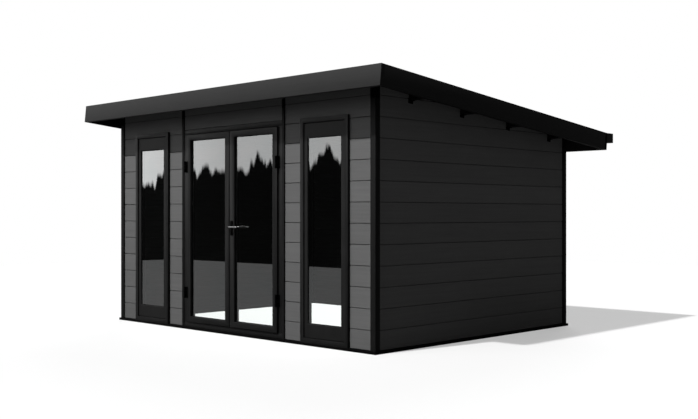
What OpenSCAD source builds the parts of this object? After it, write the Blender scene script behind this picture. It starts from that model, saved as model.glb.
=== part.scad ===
// Garden shed with composite board walls, glazed double doors and two fixed windows
// under a low single-slope roof that drains to a box gutter at the back.
// The origin is on the ground at the middle of the roof plan. +X runs along the front
// to the right, +Y runs to the back and +Z is up. Lengths are in millimetres.

/* [Building] */
// Width over the outer faces of the corner posts
shed_w = 4060; // [3900:10:4300]
// Depth over the outer faces of the corner posts
shed_d = 3120; // [2900:10:3300]
// Side of a square corner post
post_side = 62; // [56:1:70]
// How far posts stand proud of the wall boards
post_proud = 15; // [8:1:18]
// Thickness of the board walls
wall_t = 40; // [34:1:42]
// Height of the base rail under the walls
base_h = 26; // [20:1:30]
// Width of the base rail
base_w = 105; // [95:1:120]
// How far the base rail reaches beyond the post faces
base_proud = 15; // [5:1:25]

/* [Roof] */
// Slope of the roof down to the back, in degrees
roof_slope = 5.65; // [4:0.05:7]
// Width of the roof over the verge boards
roof_w = 4700; // [4500:10:4900]
// Length of the roof along its slope
roof_len = 3740; // [3600:10:3900]
// Height of the front top edge above the ground
roof_top = 2505; // [2490:1:2560]
// Level distance from the front wall boards to the front top edge
front_eaves = 286; // [200:1:320]
// Height of the fascia and verge boards, square to the roof
fascia_h = 190; // [170:1:200]
// Thickness of the fascia and verge boards
fascia_t = 40; // [25:1:45]
// Step down from the top of the boards to the roof covering
kerb_h = 15; // [10:1:25]
// Thickness of the roof covering
covering_t = 6; // [4:1:10]
// Thickness of the roof deck
deck_t = 24; // [18:1:30]
// Width of a purlin
purlin_w = 62; // [50:1:70]
// Distance from the top of the boards down to the purlin undersides
purlin_drop = 147; // [135:1:155]
// Distance from the front wall boards to the first purlin
first_purlin_y = 462; // [430:1:490]
// Spacing of the purlins
purlin_step = 765; // [740:5:780]
// Number of purlins
purlin_count = 4; // [3:1:4]
// How far a wall bracket reaches below its purlin
bracket_drop = 32; // [15:1:40]
// How far a wall bracket stands out from the boards
bracket_out = 30; // [20:1:60]
// Outer depth of the box gutter
gutter_d = 121; // [100:1:140]
// Height of the box gutter
gutter_h = 105; // [80:1:120]
// Sheet thickness of the gutter
gutter_t = 3; // [2:1:4]

/* [Windows] */
// Distance from the middle of the front to the middle of a window
window_x = 1386; // [1370:1:1410]
// Width over a window frame
window_w = 632; // [600:1:650]
// Height over a window frame
window_h = 2115; // [2050:1:2130]
// Face width of a window frame
window_face = 46; // [40:1:55]
// How far a window frame stands proud of the boards
window_proud = 30; // [20:1:35]
// Depth of a window frame
window_d = 75; // [72:1:85]
// How far the sash face sits behind the frame face
sash_set = 10; // [4:1:12]
// Depth of a sash
sash_d = 55; // [48:1:60]
// Width of a sash stile
sash_stile = 50; // [45:1:60]
// Height of the sash top rail
sash_top = 140; // [110:1:150]
// Height of the sash bottom rail
sash_bottom = 135; // [110:1:145]
// How far the window glass sits behind the sash face
window_recess = 12; // [8:1:30]

/* [Doors] */
// Distance from the middle of the front to the outer face of a door post
door_post_x = 829; // [815:1:840]
// Width of a door post
door_post_w = 32; // [28:1:36]
// Distance from the middle of the front to the hinge edge of a leaf
leaf_edge_x = 735; // [725:1:740]
// Gap between the two leaves
meeting_gap = 11; // [11:1:14]
// Gap between a leaf and the door frame
frame_gap = 6; // [5:1:8]
// Height of the underside of a leaf
leaf_z0 = 80; // [74:1:90]
// Height of the top of a leaf
leaf_z1 = 2087; // [2075:1:2100]
// How far the leaf face stands proud of the boards
leaf_proud = 25; // [20:1:30]
// Thickness of a leaf
leaf_t = 70; // [60:1:72]
// Width of a leaf stile
leaf_stile = 68; // [62:1:75]
// Height of a leaf top rail
leaf_top = 60; // [55:1:90]
// Height of a leaf bottom rail
leaf_bottom = 58; // [50:1:110]
// How far the door glass sits behind the leaf face
door_recess = 24; // [14:1:50]
// Height of the door frame head above the leaf gap
head_h = 52; // [40:1:60]
// How far the door frame face stands proud of the boards
jamb_proud = 7; // [4:1:10]
// Depth of the door stop, front to back
stop_d = 25; // [20:1:30]
// Width of the door stop
stop_w = 24; // [20:1:30]
// Thickness of every pane of glass
glass_t = 6; // [4:1:8]

/* [Hardware] */
// Height of one hinge
hinge_h = 120; // [100:1:140]
// Height of the middle of the lower hinges
hinge_low_z = 395; // [300:5:500]
// Height of the middle of the upper hinges
hinge_high_z = 1745; // [1650:5:1850]
// Radius of a hinge knuckle
knuckle_r = 10; // [9:0.5:10]
// Radius of a hinge pin
pin_r = 4; // [3:0.5:5]
// Radial play of a hinge pin or a lever neck in its bore
play = 0.06; // [0.03:0.01:0.09]
// Distance from the leaf face out to the hinge axis
hinge_out = 16; // [15:1:18]
// Height of the lever above the ground
lever_z = 1105; // [1000:5:1200]
// Length of the lever from its pivot
lever_len = 134; // [110:1:150]
// Radius of the lever bar
lever_r = 8.5; // [7:0.5:10]
// Distance from the leaf face out to the middle of the lever bar
lever_out = 45; // [40:1:55]
// Width of a handle plate
plate_w = 35; // [30:1:42]
// Height of a handle plate
plate_h = 150; // [140:1:200]
// Thickness of a handle plate
plate_t = 8; // [6:1:10]

/* [Hidden] */
$fn = 48;

half_w = shed_w / 2;
board_x = half_w - post_proud;
back_y = shed_d - 2 * post_proud;
base_out = post_proud + base_proud;
post_in = post_side - post_proud;
roof_half = roof_w / 2;
deck_drop = kerb_h + covering_t + deck_t;
deck_x = roof_half - fascia_t;

// plan of the roof and gutter, which sets the front wall's place about the origin
front_tip = front_eaves + fascia_h * sin(roof_slope);
back_tip = roof_len * cos(roof_slope) - front_eaves + gutter_d;
wall_y = (front_tip - back_tip) / 2;

gutter_z1 = roof_top - roof_len * sin(roof_slope);
gutter_y0 = roof_len * cos(roof_slope) - front_eaves;

window_in = window_w - 2 * window_face;
sash_h = window_h - 2 * window_face;
frame_x1 = door_post_x - door_post_w;
jamb_x0 = leaf_edge_x + frame_gap;
leaf_x0 = meeting_gap / 2;
head_z0 = leaf_z1 + frame_gap;
head_z1 = head_z0 + head_h;
stop_gap = 5;
stop_y = leaf_t - leaf_proud + stop_gap;

hinge_x = leaf_edge_x + frame_gap / 2;
hinge_y = -leaf_proud - hinge_out;
knuckle_gap = 1;
knuckle_h = hinge_h / 3;
hinge_plate_w = 20;
leaf_plate_w = 18;
hinge_plate_t = 6;
hinge_lap = 1;
leaf_web_lap = 4;
knuckle_wall = 2;
lever_x = leaf_x0 + leaf_stile / 2;
neck_r = 9;
neck_gap = 1;
spindle_r = 5;
spindle_lap = 2;
spindle_hole_r = 12;
lock_r = 8.5;
lock_t = 4;
lock_drop = 60;
plate_low = 85;
eps = 0.5;
// gap where a wall or the gutter meets a sloping board
seat_play = 0.1;

// Height of a wall's top, just under the deck, at distance y behind the front boards
function deck_z(y) = roof_top - (y + front_eaves) * tan(roof_slope) - deck_drop / cos(roof_slope) - seat_play;

// Moves children from the front board plane to the row's frame
module placed() {
    translate([0, wall_y, 0])
        children();
}

// Roof frame: y runs down the slope from the front top edge, z is square to the roof
module on_roof() {
    translate([0, wall_y - front_eaves, roof_top])
        rotate([-roof_slope, 0, 0])
            children();
}

// Box between two corners
module block(lo, hi) {
    translate(lo)
        cube(hi - lo);
}

// Keeps a right-hand piece for side 1 and mirrors it to the left for side -1
module flipped(side) {
    mirror([side < 0 ? 1 : 0, 0, 0])
        children();
}

// Upright slab whose top follows the slope of the deck
module upright(x0, x1, y0, y1, z0) {
    translate([x0, 0, 0])
        rotate([90, 0, 90])
            linear_extrude(x1 - x0)
                polygon([[y0, z0], [y1, z0], [y1, deck_z(y1)], [y0, deck_z(y0)]]);
}

// Rectangular ring in the XZ plane, from its outer corners and the widths of its bars
module ring(x0, x1, y0, y1, z0, z1, side, low, high) {
    difference() {
        block([x0, y0, z0], [x1, y1, z1]);
        block([x0 + side, y0 - eps, z0 + low], [x1 - side, y1 + eps, z1 - high]);
    }
}

module base_rail_across(y0) {
    color("#16171a")
        placed()
            block([-board_x - base_out, y0, 0], [board_x + base_out, y0 + base_w, base_h]);
}

module base_rail_side(side) {
    color("#16171a")
        placed()
            flipped(side)
                block([board_x + base_out - base_w, base_w - base_out, 0],
                      [board_x + base_out, back_y + base_out - base_w, base_h]);
}

module corner_post(side, y0) {
    color("#1b1c1f")
        placed()
            flipped(side)
                upright(half_w - post_side, half_w, y0, y0 + post_side, base_h);
}

module door_post(side) {
    color("#1b1c1f")
        placed()
            flipped(side)
                upright(frame_x1, door_post_x, -post_proud, post_in, base_h);
}

// Front wall bay around a window
module front_wall(side) {
    window_edge = window_w / 2;
    color("#5c5e61")
        placed()
            flipped(side)
                difference() {
                    upright(door_post_x, half_w - post_side, 0, wall_t, base_h);
                    block([window_x - window_edge, -eps, base_h - eps],
                          [window_x + window_edge, wall_t + eps, base_h + window_h]);
                }
}

module front_wall_over_door() {
    color("#5c5e61")
        placed()
            upright(-frame_x1, frame_x1, 0, wall_t, head_z1);
}

// Purlins as bars from verge to verge
module purlin_bars() {
    for (i = [0 : purlin_count - 1])
        translate([-deck_x, (first_purlin_y + front_eaves + i * purlin_step) / cos(roof_slope), -purlin_drop])
            cube([2 * deck_x, purlin_w, purlin_drop - deck_drop]);
}

module side_wall(side) {
    color("#4b4d50")
        difference() {
            placed()
                flipped(side)
                    upright(board_x - wall_t, board_x, post_in, back_y - post_in, base_h);
            on_roof()
                purlin_bars();
        }
}

module back_wall() {
    color("#4b4d50")
        placed()
            upright(post_side - half_w, half_w - post_side, back_y - wall_t, back_y, base_h);
}

module window_frame(side) {
    color("#202123")
        placed()
            flipped(side)
                ring(window_x - window_w / 2, window_x + window_w / 2,
                     -window_proud, window_d - window_proud,
                     base_h, base_h + window_h, window_face, window_face, window_face);
}

module window_sash(side) {
    color("#232427")
        placed()
            flipped(side)
                ring(window_x - window_in / 2, window_x + window_in / 2,
                     sash_set - window_proud, sash_set - window_proud + sash_d,
                     base_h + window_face, base_h + window_face + sash_h,
                     sash_stile, sash_bottom, sash_top);
}

module window_glass(side) {
    pane_x = window_in / 2 - sash_stile;
    pane_y = sash_set + window_recess - window_proud;
    pane_z = base_h + window_face;
    color("#8fa3ab", 0.35)
        placed()
            flipped(side)
                block([window_x - pane_x, pane_y, pane_z + sash_bottom],
                      [window_x + pane_x, pane_y + glass_t, pane_z + sash_h - sash_top]);
}

// Side member of the door frame, with the stop behind the leaf
module door_jamb(side) {
    color("#1d1e21")
        placed()
            flipped(side) {
                block([jamb_x0, -jamb_proud, leaf_z0 - frame_gap],
                      [frame_x1, stop_y + stop_d, head_z0]);
                block([jamb_x0 - stop_w, stop_y, leaf_z0 - frame_gap],
                      [jamb_x0 + eps, stop_y + stop_d, head_z0]);
            }
}

module door_head() {
    color("#1d1e21")
        placed() {
            block([-frame_x1, -jamb_proud, head_z0],
                  [frame_x1, stop_y + stop_d, head_z1]);
            block([stop_w - jamb_x0, stop_y, head_z0 - stop_w],
                  [jamb_x0 - stop_w, stop_y + stop_d, head_z0 + eps]);
        }
}

module door_sill() {
    sill_z1 = leaf_z0 - frame_gap;
    color("#1d1e21")
        placed() {
            block([-frame_x1, -jamb_proud, base_h],
                  [frame_x1, stop_y + stop_d, sill_z1]);
            block([stop_w - jamb_x0, stop_y, sill_z1 - eps],
                  [jamb_x0 - stop_w, stop_y + stop_d, sill_z1 + stop_w]);
        }
}

module leaf_frame() {
    ring(leaf_x0, leaf_edge_x, -leaf_proud, leaf_t - leaf_proud,
         leaf_z0, leaf_z1, leaf_stile, leaf_bottom, leaf_top);
}

module door_leaf_left() {
    color("#202123")
        placed()
            flipped(-1)
                leaf_frame();
}

module door_leaf_right() {
    color("#202123")
        placed()
            difference() {
                leaf_frame();
                translate([lever_x, -leaf_proud - eps, lever_z])
                    rotate([-90, 0, 0])
                        cylinder(r = spindle_hole_r, h = leaf_t + 2 * eps);
            }
}

module door_glass(side) {
    pane_y = door_recess - leaf_proud;
    color("#8fa3ab", 0.35)
        placed()
            flipped(side)
                block([leaf_x0 + leaf_stile, pane_y, leaf_z0 + leaf_bottom],
                      [leaf_edge_x - leaf_stile, pane_y + glass_t, leaf_z1 - leaf_top]);
}

// Frame half of a hinge: two knuckles, the pin and a plate on the jamb
module frame_hinge() {
    for (k = [-1, 1])
        translate([0, 0, k * knuckle_h]) {
            cylinder(r = knuckle_r, h = knuckle_h, center = true);
            block([frame_gap / 2 - hinge_lap, 0, -knuckle_h / 2],
                  [knuckle_r, hinge_out + leaf_proud - jamb_proud, knuckle_h / 2]);
        }
    cylinder(r = pin_r, h = hinge_h, center = true);
    block([frame_gap / 2, hinge_out + leaf_proud - jamb_proud - hinge_plate_t, -hinge_h / 2],
          [frame_gap / 2 + hinge_plate_w, hinge_out + leaf_proud - jamb_proud, hinge_h / 2]);
}

// Leaf half of a hinge: the middle knuckle and a plate on the leaf face
module leaf_hinge() {
    leaf_knuckle_h = knuckle_h - 2 * knuckle_gap;
    plate_x1 = -knuckle_r - knuckle_wall;
    web_x0 = plate_x1 - leaf_web_lap;
    difference() {
        union() {
            cylinder(r = knuckle_r, h = leaf_knuckle_h, center = true);
            block([web_x0, 0, -leaf_knuckle_h / 2],
                  [-pin_r - knuckle_wall, hinge_out, leaf_knuckle_h / 2]);
        }
        cylinder(r = pin_r + play, h = hinge_h, center = true);
    }
    block([plate_x1 - leaf_plate_w, hinge_out - hinge_plate_t, -hinge_h / 2],
          [plate_x1, hinge_out, hinge_h / 2]);
}

module at_hinges() {
    placed()
        for (z = [hinge_low_z, hinge_high_z])
            translate([hinge_x, hinge_y, z])
                children();
}

module frame_hinges() {
    color("#0c0c0d") {
        at_hinges()
            frame_hinge();
        mirror([1, 0, 0])
            at_hinges()
                frame_hinge();
    }
}

module leaf_hinges(side) {
    color("#0c0c0d")
        flipped(side)
            at_hinges()
                leaf_hinge();
}

module at_lever() {
    placed()
        translate([lever_x, -leaf_proud, lever_z])
            children();
}

// Plate with a bore for the lever neck, its outer face towards -Y
module handle_plate() {
    difference() {
        block([-plate_w / 2, -plate_t, -plate_low],
              [plate_w / 2, 0, plate_h - plate_low]);
        translate([0, -plate_t - eps, 0])
            rotate([-90, 0, 0])
                cylinder(r = neck_r + play, h = plate_t + 2 * eps);
    }
}

module handle_plates() {
    color("#101113")
        at_lever() {
            handle_plate();
            translate([0, leaf_t, 0])
                mirror([0, 1, 0])
                    handle_plate();
        }
}

// Lever bar and neck on one side of the leaf, its pivot on the leaf face
module lever_arm() {
    neck_len = lever_out - neck_gap;
    translate([0, -lever_out, 0]) {
        rotate([-90, 0, 0])
            cylinder(r = neck_r, h = neck_len);
        sphere(r = neck_r);
        rotate([0, 90, 0])
            cylinder(r = lever_r, h = lever_len - lever_r);
        translate([lever_len - lever_r, 0, 0])
            sphere(r = lever_r);
    }
}

module door_lever() {
    color("#c9cbcd")
        at_lever() {
            lever_arm();
            translate([0, -spindle_lap, 0])
                rotate([-90, 0, 0])
                    cylinder(r = spindle_r, h = leaf_t + 2 * spindle_lap);
            translate([0, leaf_t, 0])
                mirror([0, 1, 0])
                    lever_arm();
        }
}

module lock_cylinder() {
    color("#b9bbbd")
        at_lever()
            for (y = [-plate_t - lock_t, leaf_t + plate_t])
                translate([0, y, -lock_drop])
                    rotate([-90, 0, 0])
                        cylinder(r = lock_r, h = lock_t);
}

module roof_deck() {
    color("#2a2b2d")
        on_roof()
            block([-deck_x, fascia_t, -deck_drop],
                  [deck_x, roof_len - fascia_t, deck_t - deck_drop]);
}

module roof_covering() {
    color("#242527")
        on_roof()
            block([-deck_x, fascia_t, -kerb_h - covering_t],
                  [deck_x, roof_len - fascia_t, -kerb_h]);
}

module fascia_board(y0) {
    color("#3c3d40")
        on_roof()
            block([-roof_half, y0, -fascia_h], [roof_half, y0 + fascia_t, 0]);
}

module verge_board(side) {
    color("#3c3d40")
        flipped(side)
            on_roof()
                block([deck_x, fascia_t, -fascia_h], [roof_half, roof_len - fascia_t, 0]);
}

module purlins() {
    color("#1b1c1f")
        on_roof()
            purlin_bars();
}

// Brackets on the outer faces of the side walls, one under each purlin end
module purlin_brackets() {
    color("#141517")
        on_roof()
            for (side = [-1, 1])
                for (i = [0 : purlin_count - 1])
                    flipped(side)
                        translate([board_x, (first_purlin_y + front_eaves + i * purlin_step) / cos(roof_slope),
                                   -purlin_drop - bracket_drop])
                            cube([bracket_out, purlin_w, bracket_drop]);
}

// Box gutter whose back lies on the leaning face of the back fascia
module gutter() {
    lean = tan(roof_slope);
    color("#17181a")
        placed()
            difference() {
                gutter_section(roof_half, 0, gutter_h, seat_play, gutter_d, lean);
                gutter_section(roof_half - gutter_t, -eps, gutter_h - gutter_t,
                               gutter_t, gutter_d - gutter_t, lean);
            }
}

// Solid of the gutter's cross-section from z0 to z1 below its rim and y0 to y1 behind the fascia
module gutter_section(half_len, z0, z1, y0, y1, lean) {
    translate([-half_len, gutter_y0, gutter_z1])
        rotate([90, 0, 90])
            linear_extrude(2 * half_len)
                polygon([[y0 - z0 * lean, -z0], [y1, -z0], [y1, -z1], [y0 - z1 * lean, -z1]]);
}

base_rail_across(-base_out);  // base_rail_front
base_rail_across(back_y + base_out - base_w);  // base_rail_back
base_rail_side(-1);  // base_rail_left
base_rail_side(1);  // base_rail_right
corner_post(-1, -post_proud);  // corner_post_front_left
corner_post(1, -post_proud);  // corner_post_front_right
corner_post(-1, back_y - post_in);  // corner_post_back_left
corner_post(1, back_y - post_in);  // corner_post_back_right
door_post(-1);  // door_post_left
door_post(1);  // door_post_right
front_wall(-1);  // front_wall_left
front_wall(1);  // front_wall_right
front_wall_over_door();
side_wall(-1);  // left_wall
side_wall(1);  // right_wall
back_wall();
window_frame(-1);  // window_frame_left
window_frame(1);  // window_frame_right
window_sash(-1);  // window_sash_left
window_sash(1);  // window_sash_right
window_glass(-1);  // window_glass_left
window_glass(1);  // window_glass_right
door_jamb(-1);  // door_jamb_left
door_jamb(1);  // door_jamb_right
door_head();
door_sill();
door_leaf_left();
door_leaf_right();
door_glass(-1);  // door_glass_left
door_glass(1);  // door_glass_right
frame_hinges();
leaf_hinges(-1);  // leaf_hinges_left
leaf_hinges(1);  // leaf_hinges_right
handle_plates();
door_lever();
lock_cylinder();
roof_deck();
roof_covering();
fascia_board(0);  // front_fascia
fascia_board(roof_len - fascia_t);  // back_fascia
verge_board(-1);  // left_verge
verge_board(1);  // right_verge
purlins();
purlin_brackets();
gutter();
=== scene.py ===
import math

import bmesh
import bpy
from mathutils import Matrix, Vector, noise


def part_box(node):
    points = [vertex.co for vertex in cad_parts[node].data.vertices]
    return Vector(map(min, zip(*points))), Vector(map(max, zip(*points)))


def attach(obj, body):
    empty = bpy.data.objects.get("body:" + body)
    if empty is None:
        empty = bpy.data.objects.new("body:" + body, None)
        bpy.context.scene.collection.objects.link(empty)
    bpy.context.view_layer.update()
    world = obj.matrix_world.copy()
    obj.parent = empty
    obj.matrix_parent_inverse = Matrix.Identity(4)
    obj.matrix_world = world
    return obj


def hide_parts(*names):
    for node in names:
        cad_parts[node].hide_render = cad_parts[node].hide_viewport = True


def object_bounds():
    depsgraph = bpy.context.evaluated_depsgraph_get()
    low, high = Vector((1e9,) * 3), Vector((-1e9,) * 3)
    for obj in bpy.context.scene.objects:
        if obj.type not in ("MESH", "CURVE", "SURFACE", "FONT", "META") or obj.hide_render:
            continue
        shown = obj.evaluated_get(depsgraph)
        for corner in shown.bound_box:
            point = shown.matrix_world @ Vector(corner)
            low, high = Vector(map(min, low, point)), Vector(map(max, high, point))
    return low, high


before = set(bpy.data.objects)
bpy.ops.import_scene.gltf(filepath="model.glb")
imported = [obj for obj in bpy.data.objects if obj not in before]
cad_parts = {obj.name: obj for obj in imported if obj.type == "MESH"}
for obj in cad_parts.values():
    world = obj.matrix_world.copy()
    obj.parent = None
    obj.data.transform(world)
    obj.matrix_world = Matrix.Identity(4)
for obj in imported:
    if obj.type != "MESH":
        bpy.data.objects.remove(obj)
cad_lo, cad_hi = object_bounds()

# ---------------------------------------------------------------------------
# Sizes. The places come from the CAD boxes; these are what a box doesn't give.
# ---------------------------------------------------------------------------
SLOPE = math.radians(5.65)
COURSE = 0.19
INNER_STEP = COURSE / 3
FIRST_JOINT = 0.015
FASCIA_H = 0.19
FASCIA_T = 0.04
DECK_DROP = 0.045
DECK_PLAY = 0.0001
PURLIN_DROP = 0.147
BRACKET_DROP = 0.032
HINGE_PIN_R = 0.004
KNUCKLE_R = 0.01
LEVER_R = 0.0085
NECK_R = 0.009
SASH_SIDE, SASH_LOW, SASH_HIGH = 0.05, 0.135, 0.14
LEAF_SIDE, LEAF_LOW, LEAF_HIGH = 0.068, 0.058, 0.06
HEAD_FACE = 0.052
FRAME_PLATE_W = 0.02
LEAF_PLATE_W = 0.018
SHOE_H = 0.165
GLASS_SHINE = 0.27
PLATE_T = 0.006
FRAME_SCREW_IN, LEAF_SCREW_IN = 0.0135, 0.011
KNUCKLE_EDGE = 0.0012
STOP_D = 0.025
HINGE_H = 0.12
COVER_BASE, COVER_FACE, COVER_T = -0.018, -0.0161, 0.0045
COVER_SEAMS = (-1.38, -0.46, 0.46, 1.38)
DECK_TOP = -0.022
PURLIN_W = 0.062
GUTTER_TOP_W = 0.121
SHEET_T = 0.003
WALL_RISE = 0.02

FLOOR_FRONT, FLOOR_REACH = -11.0, 14.0
FLOOR_SHOWN, FLOOR_GLOW, FLOOR_BEHIND_GLASS = 0.5, 0.42, 1.5
FLOOR_BOUNCE, FLOOR_MIRRORED = 0.1, 0.14
CAMERA_PLACE = (7.8204, -7.9009, 1.2429)
CAMERA_TURN = 44.3275
CAMERA_LENS, CAMERA_SENSOR, CAMERA_SHIFT_Y = 50, 36, 0.0058

front_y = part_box("front_wall_over_door")[0].y
back_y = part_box("back_wall")[1].y
side_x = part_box("right_wall")[1].x
wall_t = side_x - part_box("right_wall")[0].x
fascia_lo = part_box("front_fascia")[0]
roof_origin = Vector((0, fascia_lo.y + FASCIA_H * math.sin(SLOPE), cad_hi.z))
ROOF = Matrix.Translation(roof_origin) @ Matrix.Rotation(-SLOPE, 4, "X")
PLAIN = Matrix.Identity(4)
roof_len = (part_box("back_fascia")[1].y - roof_origin.y) / math.cos(SLOPE)
roof_half = cad_hi.x
deck_x = roof_half - FASCIA_T
deck_normal = Vector((0, math.sin(SLOPE), math.cos(SLOPE)))
deck_point = ROOF @ Vector((0, 0, -DECK_DROP - DECK_PLAY))


def side_matrix(side):
    """Keeps a right-hand shape for side 1 and mirrors it to the left for side -1."""
    return Matrix.Scale(side, 4, (1, 0, 0))


# ---------------------------------------------------------------------------
# Shapes
# ---------------------------------------------------------------------------
class Piece:
    """One visible piece, gathered from closed shapes in the row frame."""

    def __init__(self):
        self.bm = bmesh.new()
        self.tone = self.bm.faces.layers.float.new("tone")

    def mark(self, tone):
        """Gives the faces made since the last mark their tone, which shades one board from the next."""
        for f in self.bm.faces:
            if f[self.tone] == 0:
                f[self.tone] = tone

    def soften(self, verts, bevel, segments):
        edges = list({e for v in verts for e in v.link_edges})
        bmesh.ops.bevel(
            self.bm, geom=edges, offset=bevel, segments=segments, profile=0.5,
            affect="EDGES", clamp_overlap=True,
        )

    def bar(self, lo, hi, bevel=0.0015, at=PLAIN, tone=0.5, segments=2):
        """Bar with rounded edges between two corners."""
        lo, hi = Vector(lo), Vector(hi)
        local = Matrix.Translation((lo + hi) / 2) @ Matrix.Diagonal((*(hi - lo), 1))
        made = bmesh.ops.create_cube(self.bm, size=1, matrix=at @ local)
        self.soften(made["verts"], bevel, segments)
        self.mark(tone)

    def prism(self, outline, a0, a1, place, tone=0.5):
        """Closed outline swept from a0 to a1; place(a, p, q) gives each point."""
        near = [self.bm.verts.new(place(a0, p, q)) for p, q in outline]
        far = [self.bm.verts.new(place(a1, p, q)) for p, q in outline]
        n = len(outline)
        for i in range(n):
            j = (i + 1) % n
            self.bm.faces.new((near[i], near[j], far[j], far[i]))
        self.bm.faces.new(near[::-1])
        self.bm.faces.new(far)
        self.mark(tone)

    def ring(self, outer, widths, profile, at=PLAIN, tone=0.5):
        """Mitred frame in an XZ plane. outer is (x0, x1, z0, z1), widths (side, low, high).
        A profile point (a, b, y) lies at the share a of the width plus b, at depth y."""
        x0, x1, z0, z1 = outer
        side, low, high = widths
        loops = []
        for a, b, y in profile:
            dx, dl, dh = a * side + b, a * low + b, a * high + b
            corners = (
                (x0 + dx, y, z0 + dl), (x1 - dx, y, z0 + dl),
                (x1 - dx, y, z1 - dh), (x0 + dx, y, z1 - dh),
            )
            loops.append([self.bm.verts.new(at @ Vector(c)) for c in corners])
        n = len(loops)
        for i in range(n):
            here, after = loops[i], loops[(i + 1) % n]
            for k in range(4):
                m = (k + 1) % 4
                self.bm.faces.new((here[k], here[m], after[m], after[k]))
        self.mark(tone)

    def lathe(self, profile, at=PLAIN, segments=28, tone=0.5):
        """Turns (radius, height) points round the local Z axis; the ends lie on it or meet."""
        loops = []
        for r, h in profile:
            if r == 0:
                loops.append([self.bm.verts.new(at @ Vector((0, 0, h)))])
            else:
                turn = [2 * math.pi * k / segments for k in range(segments)]
                loops.append([
                    self.bm.verts.new(at @ Vector((r * math.cos(t), r * math.sin(t), h)))
                    for t in turn
                ])
        for low, high in zip(loops, loops[1:]):
            for k in range(segments):
                m = (k + 1) % segments
                corners = [low[k % len(low)], low[m % len(low)], high[m % len(high)], high[k % len(high)]]
                self.bm.faces.new(list(dict.fromkeys(corners)))
        self.mark(tone)

    def tube(self, path, radii, at=PLAIN, segments=20, tone=0.5):
        """Round bar along points of a level plane (a, o), closed at both ends."""
        loops = []
        for i, (a, o) in enumerate(path):
            before, after = path[max(i - 1, 0)], path[min(i + 1, len(path) - 1)]
            along = Vector((after[0] - before[0], after[1] - before[1])).normalized()
            across = Vector((-along.y, along.x))
            level, tall = radii[i]
            loop = []
            for k in range(segments):
                t = 2 * math.pi * k / segments
                flat = Vector((a, o)) + across * (level * math.cos(t))
                loop.append(self.bm.verts.new(at @ Vector((flat.x, flat.y, tall * math.sin(t)))))
            loops.append(loop)
        for here, after in zip(loops, loops[1:]):
            for k in range(segments):
                m = (k + 1) % segments
                self.bm.faces.new((here[k], here[m], after[m], after[k]))
        self.bm.faces.new(loops[0][::-1])
        self.bm.faces.new(loops[-1])
        self.mark(tone)

    def trim_to_deck(self):
        """Cuts off all that stands above the underside of the roof deck."""
        everything = self.bm.verts[:] + self.bm.edges[:] + self.bm.faces[:]
        cut = bmesh.ops.bisect_plane(
            self.bm, geom=everything, dist=1e-6,
            plane_co=deck_point, plane_no=deck_normal, clear_outer=True,
        )
        edges = [e for e in cut["geom_cut"] if isinstance(e, bmesh.types.BMEdge)]
        bmesh.ops.holes_fill(self.bm, edges=edges, sides=0)
        self.mark(0.5)

    def make(self, name, mat, body, nodes=(), slot=None, smooth=40):
        bmesh.ops.recalc_face_normals(self.bm, faces=self.bm.faces)
        mesh = bpy.data.meshes.new(name)
        self.bm.to_mesh(mesh)
        self.bm.free()
        for p in mesh.polygons:
            p.use_smooth = True
        mesh.set_sharp_from_angle(angle=math.radians(smooth))
        mesh.materials.append(mat)
        piece = bpy.data.objects.new(name, mesh)
        bpy.context.scene.collection.objects.link(piece)
        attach(piece, body)
        if nodes:
            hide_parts(*nodes)
        return piece


def grey(level, warm=0.0):
    """Linear colour of an sRGB grey from 0 to 255, a little warm or cool."""
    c = level / 255
    c = c / 12.92 if c <= 0.04045 else ((c + 0.055) / 1.055) ** 2.4
    return (c * (1 + warm), c, c * (1 - warm), 1)


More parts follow.
